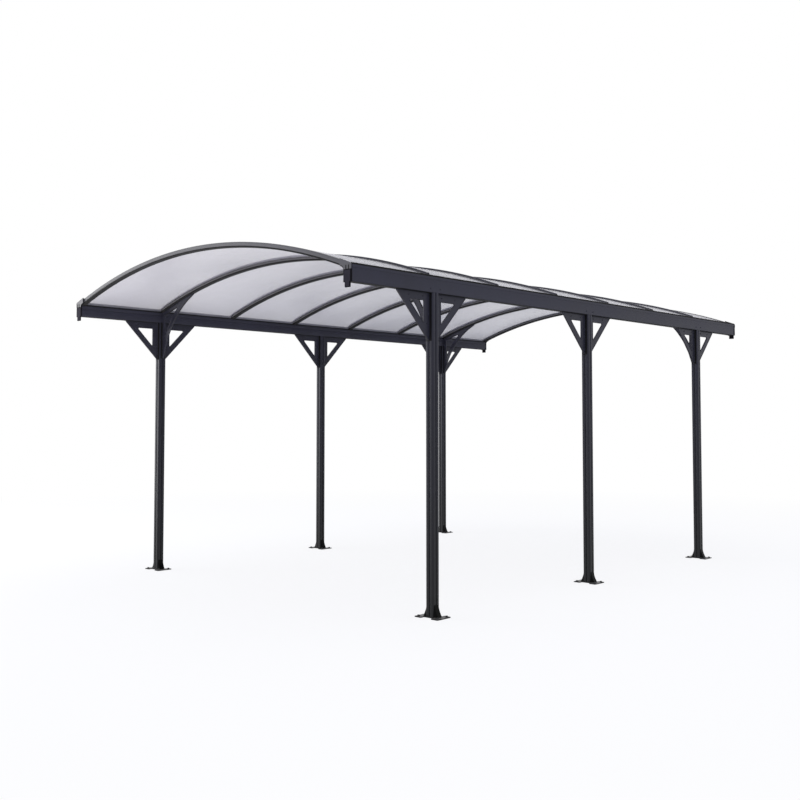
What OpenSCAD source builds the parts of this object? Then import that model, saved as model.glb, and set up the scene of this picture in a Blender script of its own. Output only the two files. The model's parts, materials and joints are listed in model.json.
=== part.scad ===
// Open carport: six grooved posts on bolted feet carry two eave beams, and eight arched
// ribs span between the beams and hold seven translucent roof panels.
// X runs across, Y along the roof with the front at -Y, Z up. The origin lies on the
// ground below the middle of the roof.

/* [Overall] */
// Length of the roof, from end cap to end cap
roof_length = 5050; // [4400:1:6000]
// Distance between the two rows of posts, centre to centre
row_spacing = 2924; // [2500:1:3200]
// Clear height below the eave beams
eave_clear = 1996; // [1800:1:2400]
// Radius of the roof's top line
arch_radius = 4210; // [3800:1:5600]

/* [Posts] */
// Side of the square post
post_w = 60; // [54:1:76]
// Radius of the post's rounded edges
post_round = 9; // [4:0.5:12]
// Width of the groove down the middle of each face
groove_w = 8; // [4:0.5:10]
// Depth of that groove
groove_d = 5; // [2:0.5:9]

/* [Feet] */
// Length of the foot plate, across the carport
foot_x = 190; // [170:1:240]
// Width of the foot plate, along the carport
foot_y = 130; // [120:1:180]
// Thickness of the foot plate
foot_t = 6; // [4:0.5:12]
// Radius of the foot plate's corners
foot_round = 10; // [4:0.5:16]
// Spacing of the anchor holes, across the carport
anchor_x = 150; // [130:1:154]
// Spacing of the anchor holes, along the carport
anchor_y = 90; // [70:1:98]
// Diameter of the anchor holes
anchor_d = 12; // [8:0.5:14]
// Width of the notches in the foot plate's front and back edges
notch_w = 80; // [60:1:92]
// Edge of the foot plate left in front of the post, in a notch
notch_edge = 3; // [1:0.5:6]
// Height of the two flares above the foot plate
flare_h = 74; // [40:1:110]
// Width of a flare, along the carport
flare_w = 54; // [30:1:54]
// How far a flare reaches from the post's face
flare_reach = 28; // [20:1:36]
// How hollow the flare's outline is, 1 for a straight slope
flare_curve = 1.6; // [1:0.1:2.5]
// Height of a flare at its outer tip
flare_tip = 4; // [2:0.5:8]

/* [Eave beams] */
// Width of the eave beam
beam_w = 60; // [54:1:76]
// Height of the eave beam, without its lip
beam_h = 90; // [70:1:130]
// Height of the lip along the outer edge
lip_h = 10; // [6:0.5:14]
// Thickness of the lip
lip_t = 4; // [3:0.5:6]
// Height of the flat bands at the top and bottom of the outer face
band_h = 9; // [5:0.5:16]
// Depth of the outer face between those bands
band_d = 1.5; // [0.5:0.25:3]

/* [Arched ribs] */
// Width of a rib
rib_w = 36; // [28:1:50]
// Depth of the rib below the panels
rib_body = 24; // [14:1:36]
// Thickness of the cover strip over the panels
cover_t = 4; // [3:0.5:12]
// Width of the rib's neck between two panels
neck_w = 12; // [8:1:16]

/* [Roof panels] */
// Thickness of a roof panel
panel_t = 6; // [4:0.5:10]
// Room for heat movement along each side of a panel
panel_side_gap = 3; // [1:0.5:5]
// Room between the lip and the end of a panel
panel_end_gap = 2; // [1:0.5:5]
// Width of the sealing strip under the panel ends
seal_w = 12; // [8:1:20]
// Distance of the sealing strip from the beam's inner edge
seal_inset = 4; // [2:0.5:8]

/* [Braces] */
// Thickness of the braces
brace_t = 12; // [11:0.5:20]
// Reach of a beam brace from the post, and its drop below the beam
brace_leg = 297; // [240:1:360]
// Height of the blunt tips of a brace
brace_tip = 8; // [4:0.5:16]
// Depth of a beam brace's bar under the beam
bar_top = 51; // [30:1:58]
// Width of a beam brace's bar along the post
bar_post = 50; // [30:1:58]
// Width of a beam brace's slanting strut
strut_w = 43; // [26:1:50]
// How far a cross brace reaches from the post under its rib
cross_reach = 412; // [380:1:440]
// How far a cross brace starts below the eave beam
cross_drop = 290; // [260:1:320]
// Radius of a cross brace's curved lower edge
cross_radius = 720; // [620:1:1000]
// Width of a cross brace's curved strut
cross_strut = 38; // [30:1:46]
// Depth of a cross brace's bar under the rib
cross_bar = 34; // [24:1:44]
// Width of a cross brace's bar along the post
cross_post = 28; // [20:1:50]

/* [End caps] */
// Thickness of an end cap
cap_t = 8; // [5:0.5:14]
// How far an end cap stands proud of the beam's section
cap_proud = 3; // [1:0.5:6]
// How far an end cap stands above the arch
hat_proud = 6; // [2:0.5:10]
// Length of the end cap's wing under the arch, past the beam
cap_wing = 28; // [12:1:50]
// Radius of the end cap's outer top corner
cap_round = 16; // [4:0.5:18]
// Width of the drip tongue below the beam
tongue_w = 44; // [20:1:54]
// Length of the drip tongue below the beam
tongue_h = 33; // [10:1:40]

/* [Hidden] */
// Gap between curved faces that seat on each other
seat_gap = 0.3;
bays = 7;
// Bays between the front and back posts
post_bays = 5;
// How far a cut runs past the face that it opens
cut_over = 1;
flare_steps = 10;
arc_margin = 0.6;
cut_far = 400;
frame_colour = "#3e3f48";
beam_colour = "#43444f";
cap_colour = "#35353c";
foot_colour = "#303034";
panel_colour = "#c3c4cc";
seal_colour = "#85858b";

row_x = row_spacing / 2;
beam_len = roof_length - 2 * cap_t;
rib_pitch = (beam_len - rib_w) / bays;
post_y = rib_pitch * post_bays / 2;
beam_in = row_x - beam_w / 2;
beam_out = row_x + beam_w / 2;
post_face = row_x - post_w / 2;
beam_top = eave_clear + beam_h;
roof_half = beam_out - lip_t - panel_end_gap;

cover_r = arch_radius - cover_t;
panel_out_r = cover_r - seat_gap;
panel_in_r = panel_out_r - panel_t;
seat_r = panel_in_r - seat_gap;
rib_in_r = seat_r - rib_body;
arc_z = beam_top + seat_gap - sqrt(pow(panel_in_r, 2) - pow(roof_half, 2));
arc_half = asin(roof_half / rib_in_r) + arc_margin;
crown_z = arc_z + arch_radius;
panel_w = rib_pitch - neck_w - 2 * panel_side_gap;
cross_z = eave_clear - cross_drop;
strut_run = strut_w * sqrt(2);

// One entry per post: name, side (-1 left, 1 right) and row (-1 front, 0 middle, 1 back)
POSTS = [
    ["front_left", -1, -1], ["middle_left", -1, 0], ["back_left", -1, 1],
    ["front_right", 1, -1], ["middle_right", 1, 0], ["back_right", 1, 1]
];
CORNERS = [for (p = POSTS) if (p[2] != 0) p];
SIDES = [["left", -1], ["right", 1]];
// One entry per rib: name and which side is the roof's outer edge (0 for an inner rib)
RIBS = [
    for (i = [0 : bays])
        i == 0 ? ["front_edge_rib", -1] : i == bays ? ["back_edge_rib", 1] : [str("arch_rib_", i + 1), 0]
];
PANELS = [for (i = [1 : bays]) str("roof_panel_", i)];

$fn = 48;
arc_fn = 720;

// Flat rectangle with rounded corners, centred
module rounded_rect(x, y, r) {
    square([x - 2 * r, y], center = true);
    square([x, y - 2 * r], center = true);
    for (sx = [-1, 1], sy = [-1, 1]) translate([sx * (x / 2 - r), sy * (y / 2 - r)]) circle(r);
}

// Post profile: a rounded square with a groove down each face
module post_section() {
    difference() {
        rounded_rect(post_w, post_w, post_round);
        for (a = [0 : 90 : 270])
            rotate(a) translate([post_w / 2 - groove_d, -groove_w / 2])
                square([groove_d + cut_over, groove_w]);
    }
}

module post(p) {
    color(frame_colour)
        translate([p[1] * row_x, p[2] * post_y, foot_t])
        linear_extrude(eave_clear - foot_t) post_section();
}

// Foot plate: a rounded rectangle with a notch in front of the post and one behind it
module foot_plate() {
    notch_d = (foot_y - post_w) / 2 - notch_edge;
    difference() {
        rounded_rect(foot_x, foot_y, foot_round);
        for (s = [-1, 1]) translate([0, s * foot_y / 2]) square([notch_w, 2 * notch_d], center = true);
        for (sx = [-1, 1], sy = [-1, 1])
            translate([sx * anchor_x / 2, sy * anchor_y / 2]) circle(d = anchor_d);
    }
}

// Side view of a flare: a hollow curve from the post's face down to its outer tip
module flare_outline() {
    polygon(concat(
        [[0, 0], [flare_reach, 0]],
        [
            for (k = [0 : flare_steps])
                let (rise = k / flare_steps)
                [flare_reach * pow(1 - rise, flare_curve), foot_t + flare_tip + (flare_h - flare_tip) * rise]
        ]
    ));
}

module foot(p) {
    color(foot_colour)
        translate([p[1] * row_x, p[2] * post_y, 0]) {
            linear_extrude(foot_t) foot_plate();
            for (turn = [0, 180])
                rotate(turn) translate([post_w / 2, flare_w / 2, 0]) rotate([90, 0, 0])
                    linear_extrude(flare_w) flare_outline();
        }
}

// Beam profile in X and Z, right-hand side: a box with a sunk outer face and an upstanding lip
module beam_section() {
    polygon([
        [beam_in, eave_clear], [beam_out, eave_clear], [beam_out, eave_clear + band_h],
        [beam_out - band_d, eave_clear + band_h], [beam_out - band_d, beam_top - band_h],
        [beam_out, beam_top - band_h], [beam_out, beam_top + lip_h],
        [beam_out - lip_t, beam_top + lip_h], [beam_out - lip_t, beam_top], [beam_in, beam_top]
    ]);
}

// Carries a flat shape drawn in X and Z along Y, centred on y, and mirrors it to its side
module along_y(side, y, depth) {
    mirror([side < 0 ? 1 : 0, 0, 0]) translate([0, y + depth / 2, 0]) rotate([90, 0, 0])
        linear_extrude(depth) children();
}

module eave_beam(s) {
    color(beam_colour) along_y(s[1], 0, beam_len) beam_section();
}

module arc_disc(r) {
    translate([0, arc_z]) circle(r, $fn = arc_fn);
}

// End cap outline: the beam's section, a hat over the end of the arch and a drip tongue
module end_cap_outline() {
    cap_out = beam_out + cap_proud;
    cap_in = beam_in - cap_proud;
    hat_in = cap_in - cap_wing;
    hat_r = arch_radius + hat_proud;
    corner_x = cap_out - cap_round;
    corner = [corner_x, sqrt(pow(hat_r - cap_round, 2) - pow(corner_x, 2))];
    reach = 2 * cap_round;
    difference() {
        union() {
            translate([cap_in, eave_clear - cap_proud])
                square([cap_out - cap_in, beam_h + cap_proud]);
            translate([row_x - tongue_w / 2, eave_clear - tongue_h])
                square([tongue_w, tongue_h + beam_h]);
            intersection() {
                arc_disc(hat_r);
                translate([hat_in, beam_top - cap_wing]) square([cap_out - hat_in, cut_far]);
            }
        }
        translate([hat_in, beam_top - cap_wing]) circle(cap_wing);
        translate(corner + [0, arc_z]) difference() {
            polygon([[0, 0], [reach, 0], [reach, reach], corner * reach / norm(corner)]);
            circle(cap_round);
        }
    }
}

module end_cap(c) {
    color(cap_colour) along_y(c[1], c[2] * (beam_len + cap_t) / 2, cap_t) end_cap_outline();
}

// Sweeps a section of radius and width along the roof's arch
module along_arch() {
    translate([0, 0, arc_z]) rotate([90, 0, 0]) rotate(90 - arc_half)
        rotate_extrude(angle = 2 * arc_half, $fn = arc_fn) children();
}

// Ends the arch at the lips and copes it over the eave beams
module cope_to_beams() {
    difference() {
        children();
        for (s = [-1, 1]) {
            translate([s * (roof_half + cut_far / 2), 0, beam_top])
                cube([cut_far, roof_length, 2 * cut_far], center = true);
            translate([s * (beam_in + cut_far / 2), 0, beam_top - cut_far / 2])
                cube([cut_far, roof_length, cut_far], center = true);
        }
    }
}

// Rib section: a box below the panels, a neck between them and a cover strip over them.
// On the roof's outer edge the neck is closed flush with the box.
module rib_section(outer) {
    near = outer < 0 ? rib_w / 2 : neck_w / 2;
    far = outer > 0 ? rib_w / 2 : neck_w / 2;
    polygon([
        [rib_in_r, -rib_w / 2], [seat_r, -rib_w / 2], [seat_r, -far], [cover_r, -far],
        [cover_r, -rib_w / 2], [arch_radius, -rib_w / 2], [arch_radius, rib_w / 2],
        [cover_r, rib_w / 2], [cover_r, near], [seat_r, near], [seat_r, rib_w / 2], [rib_in_r, rib_w / 2]
    ]);
}

module arch_rib(i) {
    color(frame_colour)
        cope_to_beams()
        translate([0, (i - bays / 2) * rib_pitch, 0]) along_arch() rib_section(RIBS[i][1]);
}

module roof_panel(i) {
    color(panel_colour, 0.6)
        cope_to_beams()
        translate([0, (i - (bays - 1) / 2) * rib_pitch, 0])
        along_arch() translate([panel_in_r, -panel_w / 2]) square([panel_t, panel_w]);
}

// Height of the sealing strip at x, just below the panel
function seal_top(x) = arc_z + sqrt(pow(panel_in_r - seat_gap, 2) - pow(x, 2));

// Sealing strips that close the space between an eave beam and the panels, rib to rib
module eave_seal(s) {
    seal_in = beam_in + seal_inset;
    color(seal_colour)
        for (i = [0 : bays - 1])
            along_y(s[1], (i - (bays - 1) / 2) * rib_pitch, rib_pitch - rib_w - 2 * seat_gap)
            polygon([
                [seal_in, beam_top], [seal_in + seal_w, beam_top],
                [seal_in + seal_w, seal_top(seal_in + seal_w)], [seal_in, seal_top(seal_in)]
            ]);
}

// Beam brace in Y and Z: a triangular frame with its hole, running out from the post
module brace_outline(way) {
    hole = brace_leg + brace_tip - strut_run;
    difference() {
        polygon([
            for (q = [[0, 0], [brace_leg, 0], [brace_leg, brace_tip], [brace_tip, brace_leg], [0, brace_leg]])
                [way * q[0], -q[1]]
        ]);
        polygon([
            for (q = [[bar_post, bar_top], [hole - bar_top, bar_top], [bar_post, hole - bar_post]])
                [way * q[0], -q[1]]
        ]);
    }
}

module beam_braces(p) {
    color(frame_colour)
        for (way = [-1, 1])
            translate([p[1] * row_x - brace_t / 2, p[2] * post_y + way * post_w / 2, eave_clear])
            rotate([90, 0, 90]) linear_extrude(brace_t) brace_outline(way);
}

// Centre of the circle of radius r through a and b, on the right of the way from a to b
function arc_centre(a, b, r) =
    let (d = b - a)
    (a + b) / 2 + sqrt(pow(r, 2) - pow(norm(d) / 2, 2)) * [d[1], -d[0]] / norm(d);

// Cross brace in X and Z, right-hand side: a frame with a hollow lower edge from the post to its rib
module cross_outline() {
    rib_r = rib_in_r - seat_gap;
    tip_x = post_face - cross_reach;
    tip = [tip_x, arc_z + sqrt(pow(rib_r, 2) - pow(tip_x, 2)) - brace_tip];
    base = [post_face - brace_tip, cross_z];
    centre = arc_centre(tip, base, cross_radius);
    rise = crown_z - cross_z;
    difference() {
        intersection() {
            arc_disc(rib_r);
            translate([tip_x, cross_z]) square([row_x - tip_x, rise]);
        }
        translate(centre) circle(cross_radius, $fn = arc_fn);
        difference() {
            intersection() {
                arc_disc(rib_r - cross_bar);
                translate([tip_x, cross_z]) square([cross_reach - cross_post, rise]);
            }
            translate(centre) circle(cross_radius + cross_strut, $fn = arc_fn);
        }
        translate([beam_in, eave_clear]) square(cut_far);
        translate([post_face, eave_clear - cut_far]) square(cut_far);
    }
}

module cross_brace(c) {
    color(frame_colour) along_y(c[1], c[2] * post_y, brace_t) cross_outline();
}

for (p = POSTS) post(p);
for (p = POSTS) foot(p);
for (s = SIDES) eave_beam(s);
for (c = CORNERS) end_cap(c);
for (i = [0 : bays]) arch_rib(i);
for (i = [0 : bays - 1]) roof_panel(i);
for (s = SIDES) eave_seal(s);
for (p = POSTS) beam_braces(p);
for (c = CORNERS) cross_brace(c);
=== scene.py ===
"""Arched carport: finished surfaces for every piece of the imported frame, and the stage that shows it."""

import json
import math

import bmesh
import bpy
import numpy as np
from bpy.props import FloatProperty, FloatVectorProperty, IntProperty, PointerProperty
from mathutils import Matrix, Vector

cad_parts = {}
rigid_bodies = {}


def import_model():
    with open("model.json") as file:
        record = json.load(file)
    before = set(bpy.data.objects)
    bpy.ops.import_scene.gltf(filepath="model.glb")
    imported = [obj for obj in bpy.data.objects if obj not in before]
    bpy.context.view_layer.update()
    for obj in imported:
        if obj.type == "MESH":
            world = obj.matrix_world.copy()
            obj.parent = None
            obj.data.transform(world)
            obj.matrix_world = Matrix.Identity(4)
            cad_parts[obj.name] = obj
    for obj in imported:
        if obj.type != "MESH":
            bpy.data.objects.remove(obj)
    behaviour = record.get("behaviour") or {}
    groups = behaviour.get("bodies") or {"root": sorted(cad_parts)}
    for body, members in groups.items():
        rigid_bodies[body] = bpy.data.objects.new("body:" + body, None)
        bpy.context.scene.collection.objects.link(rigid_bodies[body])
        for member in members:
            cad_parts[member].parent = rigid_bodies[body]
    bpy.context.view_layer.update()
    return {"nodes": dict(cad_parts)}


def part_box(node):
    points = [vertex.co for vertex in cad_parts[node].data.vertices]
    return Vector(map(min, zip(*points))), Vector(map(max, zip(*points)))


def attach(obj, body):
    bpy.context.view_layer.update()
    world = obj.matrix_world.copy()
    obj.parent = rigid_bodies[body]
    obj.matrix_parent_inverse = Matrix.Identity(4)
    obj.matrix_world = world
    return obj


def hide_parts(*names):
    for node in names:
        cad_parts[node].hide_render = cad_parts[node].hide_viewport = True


bl_info = {
    "name": "Arched Carport",
    "version": (1, 0, 0),
    "blender": (4, 5, 0),
    "location": "View3D > Sidebar > Carport",
    "description": "Builds the finished surfaces of an open carport with an arched roof",
    "category": "Add Mesh",
}

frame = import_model()

MM = 0.001
SIDES = {"left": -1, "right": 1}
POSTS = [f"{row}_{side}" for side in SIDES for row in ("front", "middle", "back")]
CORNERS = [post for post in POSTS if not post.startswith("middle")]
PANELS = sorted(node for node in frame["nodes"] if node.startswith("roof_panel"))
RIBS = ["front_edge_rib", *sorted(n for n in frame["nodes"] if n.startswith("arch_rib")), "back_edge_rib"]


def span(node):
    """Lowest and highest corner of a node of the frame, as arrays."""
    low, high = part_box(node)
    return np.array(low), np.array(high)


def middle(node):
    """Centre of a node's box."""
    return sum(span(node)) / 2


POST_LOW, POST_HIGH = span("front_right_post")
BEAM_LOW, BEAM_HIGH = span("right_eave_beam")
RIB_LOW, RIB_HIGH = span("arch_rib_2")
FOOT_LOW, FOOT_HIGH = span("front_right_foot")
CAP_LOW, CAP_HIGH = span("front_right_end_cap")
SEAL_LOW, SEAL_HIGH = span("right_eave_seal")
BRACE_LOW, BRACE_HIGH = span("front_right_beam_braces")
CROSS_LOW, CROSS_HIGH = span("front_right_cross_brace")
POST_HALF = (POST_HIGH - POST_LOW)[:2] / 2
RIB_HALF = (RIB_HIGH - RIB_LOW)[1] / 2
BEAM_WIDTH = BEAM_HIGH[0] - BEAM_LOW[0]
BRACE_THICK = BRACE_HIGH[0] - BRACE_LOW[0]
CROSS_THICK = CROSS_HIGH[1] - CROSS_LOW[1]


# Properties


def length(name, description, default):
    """A size in metres."""
    return FloatProperty(name=name, description=description, default=default, min=0.0, unit="LENGTH",
                         precision=4)


def power(name, description, default):
    """A lamp's power in watts."""
    return FloatProperty(name=name, description=description, default=default, unit="POWER")


def colour(name, description, *rgb):
    """A colour, written as sRGB from 0 to 255 and kept as linear light."""
    share = np.array(rgb) / 255
    linear = np.where(share <= 0.04045, share / 12.92, ((share + 0.055) / 1.055) ** 2.4)
    return FloatVectorProperty(name=name, description=description, default=tuple(linear), subtype="COLOR",
                               min=0.0, max=1.0)


class CarportSizes(bpy.types.PropertyGroup):
    """Sizes that the frame's boxes don't give."""
    arch_radius: length("Arch radius", "Radius of the roof's top line", 4.21)
    cover: length("Cover strip", "Thickness of the strip over the panels", 4 * MM)
    rib_body: length("Rib body", "Depth of a rib below the panels", 24 * MM)
    crest: length("Cover crest", "Height of the snap-on crest over an inner rib's cover", 10 * MM)
    trim: length("Trim", "Height of the dark trim along a rib's lower edges", 10 * MM)
    bead: length("Bead", "Height of the rubber bead on the beam's lip", 9 * MM)
    neck: length("Neck", "Width of a rib between two panels", 12 * MM)
    panel: length("Panel", "Thickness of a roof panel", 6 * MM)
    seat_gap: length("Seat gap", "Gap between curved faces that seat on each other", 0.3 * MM)
    post_round: length("Post edge", "Radius of the post's edges", 9 * MM)
    groove: length("Groove", "Width of the groove down each post face", 8 * MM)
    groove_depth: length("Groove depth", "Depth of that groove", 5 * MM)
    lip: length("Lip height", "Height of the beam's lip", 10 * MM)
    lip_wall: length("Lip wall", "Thickness of the beam's lip", 4 * MM)
    band: length("Band", "Height of the flat bands on the beam's outer face", 9 * MM)
    band_depth: length("Band depth", "Depth of the face between the bands", 1.5 * MM)
    plate: length("Foot plate", "Thickness of the foot plate", 6 * MM)
    plate_round: length("Foot corner", "Radius of the foot plate's corners", 10 * MM)
    notch: length("Notch", "Width of the notches in the foot plate", 80 * MM)
    notch_edge: length("Notch edge", "Edge of the plate left in front of the post", 3 * MM)
    flare: length("Flare width", "Width of a flare at its foot", 54 * MM)
    flare_reach: length("Flare reach", "How far a flare reaches from the post", 28 * MM)
    flare_curve: FloatProperty(name="Flare curve", description="How hollow a flare's outline is", default=1.6)
    flare_tip: length("Flare tip", "Height of a flare at its outer tip", 4 * MM)
    anchor_x: length("Anchor spacing across", "Distance between anchors across the carport", 150 * MM)
    anchor_y: length("Anchor spacing along", "Distance between anchors along the carport", 90 * MM)
    strut: length("Strut", "Width of a beam brace's slanting strut", 43 * MM)
    bar_top: length("Top bar", "Depth of a brace's bar under the beam", 51 * MM)
    bar_post: length("Post bar", "Width of a beam brace's bar along the post", 50 * MM)
    brace_tip: length("Brace tip", "Height of the blunt tips of a brace", 8 * MM)
    cross_radius: length("Cross radius", "Radius of a cross brace's curved lower edge", 0.72)
    cross_strut: length("Cross strut", "Width of a cross brace's curved strut", 38 * MM)
    cross_post: length("Cross post bar", "Width of a cross brace's bar along the post", 28 * MM)
    cross_bar: length("Rib bar", "Depth of a cross brace's bar under the rib", 34 * MM)
    rim: length("Rim", "Width of the raised rim round a brace", 5 * MM)
    web: length("Web", "How deep a brace's web is sunk between its rims", 2.2 * MM)
    # The pads' black also paints the shade of the gaps beside the braces.
    pad: length("Pad", "Thickness of the rubber pads under the braces", 2 * MM)
    tongue: length("Tongue", "Width of the drip tongue of an end cap", 44 * MM)
    hat_proud: length("Hat edge", "How far an end cap's hat stands above the arch", 6 * MM)
    hat_drop: length("Hat drop", "How far a hat reaches down from the beam's top", 19 * MM)
    hat_thick: length("Hat thickness", "How far a hat stands out from its end cap", 2.4 * MM)
    face_thick: length("Face plate", "How far a face plate stands out from its end cap", 1.4 * MM)
    wing_drop: length("Wing drop", "How far a cap's wing falls towards the beam", 8 * MM)
    cap_proud: length("Cap edge", "How far an end cap stands proud of the beam", 3 * MM)
    screw: length("Screw", "Radius of a screw's head", 4.5 * MM)
    bolt: length("Bolt", "Radius of an anchor bolt's head", 7 * MM)
    arc_steps: IntProperty(name="Arch steps", description="Stations along the arch", default=72, min=8)


class CarportColours(bpy.types.PropertyGroup):
    """Colours of the finishes."""
    coat: colour("Coat", "Powder coat of the frame", 44, 44, 54)
    beam: colour("Beam coat", "Powder coat of the eave beams", 46, 46, 57)
    # Paler than the frame's coat: painted light on the ribs' faces. The hats share this colour.
    rib: colour("Rib coat", "Powder coat of the ribs and hats", 78, 77, 80)
    worn: colour("Worn edge", "Coat where edges are rubbed", 74, 75, 80)
    foot: colour("Foot", "Coat of the feet", 12, 12, 13)
    cap: colour("Cap", "Plastic of the end caps", 20, 20, 22)
    cap_face: colour("Cap face", "Face plates on the end caps", 46, 44, 51)
    sheet: colour("Sheet", "Smoky roof sheet", 165, 164, 174)
    # Painted reflection: this paler colour of the sheet's upper face paints the brighter reflection it shows
    # at grazing angles.
    painted_sheen_colour: colour("Haze", "Weathered upper face of the roof sheet", 191, 189, 190)
    seal: colour("Seal", "Sealing strips at the eaves", 128, 127, 131)
    # Real rubber on gaskets and trims; on the hats' slots and beside the braces this black also paints shade.
    rubber: colour("Rubber", "Pads, gaskets, rib trims and hat slots", 14, 14, 16)
    steel: colour("Steel", "Anchor bolts", 70, 70, 74)
    dust: colour("Dust", "Dust on faces that look up", 172, 168, 160)
    sky: colour("Sky", "Light from all round", 226, 231, 255)
    floor: colour("Floor", "Pale floor", 246, 246, 247)


class CarportStage(bpy.types.PropertyGroup):
    """Camera and light."""
    lens: FloatProperty(name="Lens", description="Focal length of the camera", default=45.234, unit="CAMERA")
    shift: FloatProperty(name="Shift", description="Upward shift of the picture", default=-0.03547)
    eye: FloatVectorProperty(name="Eye", description="Where the camera stands",
                             default=(5.5207, -6.5114, 1.2177), subtype="XYZ", unit="LENGTH")
    turn: FloatProperty(name="Turn", description="Turn of the camera about the vertical",
                        default=math.radians(42.491), unit="ROTATION")
    tilt: FloatProperty(name="Tilt", description="Tilt of the camera above the horizon",
                        default=math.radians(2.668), unit="ROTATION")
    sky: FloatProperty(name="Sky", description="Strength of the light from all round", default=0.78)
    key: power("Key", "Power of the soft light at the left", 385.0)
    top: power("Top", "Power of the soft light overhead", 260.0)
    fill: power("Fill", "Power of the low light in front", 62.0)
    warm: FloatVectorProperty(name="Fill tint", description="Colour of the low light in front",
                              default=(1.0, 0.94, 0.84), subtype="COLOR", min=0.0, max=1.0)


# Arrays that become meshes


def unit(v):
    """Vectors cut to length one."""
    return v / np.linalg.norm(v, axis=-1, keepdims=True)


def rounded_loop(corners, radii, steps=4):
    """Closed outline whose corners are arcs: each arc's centre lies on the corner's bisector at
    radius / sin(half angle), and the arc turns from one side's tangent point to the other's."""
    p = np.asarray(corners, float)
    r = np.broadcast_to(np.asarray(radii, float), len(p))
    back, ahead = unit(np.roll(p, 1, 0) - p), unit(np.roll(p, -1, 0) - p)
    half = np.arccos(np.clip((back * ahead).sum(1), -1, 1)) / 2
    centre = p + unit(back + ahead) * (r / np.sin(half))[:, None]
    reach = (r / np.tan(half))[:, None]
    start, finish = p + back * reach - centre, p + ahead * reach - centre
    turn = np.arctan2(start[:, 0] * finish[:, 1] - start[:, 1] * finish[:, 0], (start * finish).sum(1))
    angle = np.arctan2(start[:, 1], start[:, 0])[:, None] + turn[:, None] * np.linspace(0, 1, steps + 1)
    arc = np.stack([np.cos(angle), np.sin(angle)], -1)
    return (centre[:, None] + r[:, None, None] * arc).reshape(-1, 2)


def outlined(points, steps):
    """Closed outline from corners that each have their own radius: (across, up, radius)."""
    points = np.array(points)
    return rounded_loop(points[:, :2], points[:, 2], steps)


def rectangle(low, high):
    """Four corners of a flat rectangle."""
    return np.array([[low[0], low[1]], [high[0], low[1]], [high[0], high[1]], [low[0], high[1]]])


def quads(rows, columns, wrap_rows=False, wrap_columns=True):
    """Faces of a grid of points, row after row."""
    i, j = np.meshgrid(np.arange(rows if wrap_rows else rows - 1),
                       np.arange(columns if wrap_columns else columns - 1), indexing="ij")
    i2, j2 = (i + 1) % rows, (j + 1) % columns
    corners = [i * columns + j, i * columns + j2, i2 * columns + j2, i2 * columns + j]
    return np.stack(corners, -1).reshape(-1, 4).tolist()


def tube(rings):
    """Rings of points skinned along their length and closed by a face at each end."""
    rows, columns = rings.shape[:2]
    ends = [list(range(columns)), list(range((rows - 1) * columns, rows * columns))]
    return rings.reshape(-1, 3), quads(rows, columns) + ends


def hoop(rings):
    """Rings of points skinned round a closed section, as on a frame with a hole."""
    rows, columns = rings.shape[:2]
    return rings.reshape(-1, 3), quads(rows, columns, wrap_rows=True)


def join(shapes):
    """Several shapes as one list of points and faces."""
    points, faces = [], []
    start = 0
    for p, f in shapes:
        points.append(p)
        faces += [[i + start for i in face] for face in f]
        start += len(p)
    return np.concatenate(points), faces


def copies(shape, places, turns=None):
    """One shape at many places: every copy's points are the shape's, turned by its matrix and moved."""
    points, faces = shape
    places = np.asarray(places, float)
    turns = np.broadcast_to(np.eye(3) if turns is None else turns, (len(places), 3, 3))
    moved = np.einsum("kij,nj->kni", turns, points) + places[:, None]
    shifted = [[i + k * len(points) for i in face] for k in range(len(places)) for face in faces]
    return moved.reshape(-1, 3), shifted


def upright(loop, low, high):
    """A loop in X and Y carried up from one height to another."""
    return tube(np.stack([np.column_stack([loop, np.full(len(loop), z)]) for z in (low, high)]))


def along(loop, low, high):
    """A loop in X and Z carried along Y."""
    return tube(np.stack([np.insert(loop, 1, y, axis=1) for y in (low, high)]))


def inward(loop, distance):
    """A loop moved in along the normals of its points, which are square to their neighbours' chord."""
    chord = unit(np.roll(loop, -1, 0) - np.roll(loop, 1, 0))
    normal = np.column_stack([-chord[:, 1], chord[:, 0]])
    area = (loop[:, 0] * np.roll(loop[:, 1], -1) - loop[:, 1] * np.roll(loop[:, 0], -1)).sum()
    return loop + np.sign(area) * distance * normal


def slab(loop, low, high, edge, axis):
    """A loop carried along an axis, with the rim at both ends broken by a chamfer."""
    inner = inward(loop, edge)
    stations = [(inner, low), (loop, low + edge), (loop, high - edge), (inner, high)]
    return tube(np.stack([np.insert(ring, axis, place, axis=1) for ring, place in stations]))


def turned(profile, steps, sides):
    """A profile of radius and height turned about Z. A ring flagged in sides is a hexagon: its radius
    is divided by the cosine of the angle from the nearest flat's middle."""
    angle = np.linspace(0, 2 * math.pi, steps, endpoint=False)
    sixth = math.pi / 3
    hexagon = 1 / np.cos((angle + sixth / 2) % sixth - sixth / 2)
    radius, height = np.array(profile).T
    r = radius[:, None] * (1 + np.array(sides)[:, None] * (hexagon - 1))
    return tube(np.stack([r * np.cos(angle), r * np.sin(angle), np.repeat(height[:, None], steps, 1)], -1))


def sideways(way):
    """Matrix that turns +Z to +X or to -X."""
    x, z = np.array([0.0, 0.0, -way]), np.array([way, 0.0, 0.0])
    return np.column_stack([x, np.cross(z, x), z])


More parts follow.
